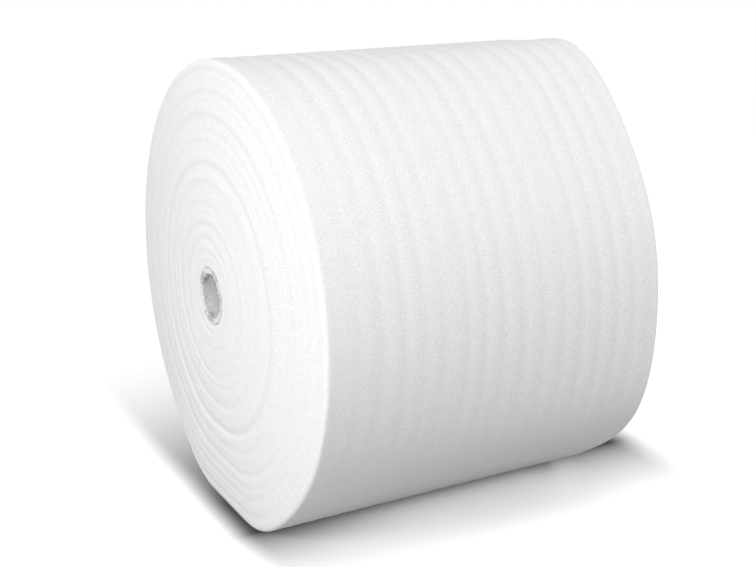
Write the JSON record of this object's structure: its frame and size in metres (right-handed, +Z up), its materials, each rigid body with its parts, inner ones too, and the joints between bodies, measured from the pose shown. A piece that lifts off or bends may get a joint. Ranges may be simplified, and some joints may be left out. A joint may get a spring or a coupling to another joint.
{
  "type": "foam wrap roll",
  "caption": "Wide roll of white foam wrap sheet wound on an open board core, lying on its side on a small flat spot.",
  "frame": {"origin": "on the floor, at the middle of the roll's flat spot across and of its overall length along the core", "axes": "+X along the core from the domed end to the dished end, -Y the front, +Z up"},
  "size_m": [0.63, 0.7822, 0.7907],
  "materials": {
    "foam": "soft matt closed-cell foam",
    "core_board": "matt pale grey paperboard"
  },
  "bodies": {
    "root": {"foam_roll": "foam", "core_tube": "core_board"}
  },
  "joints": []
}
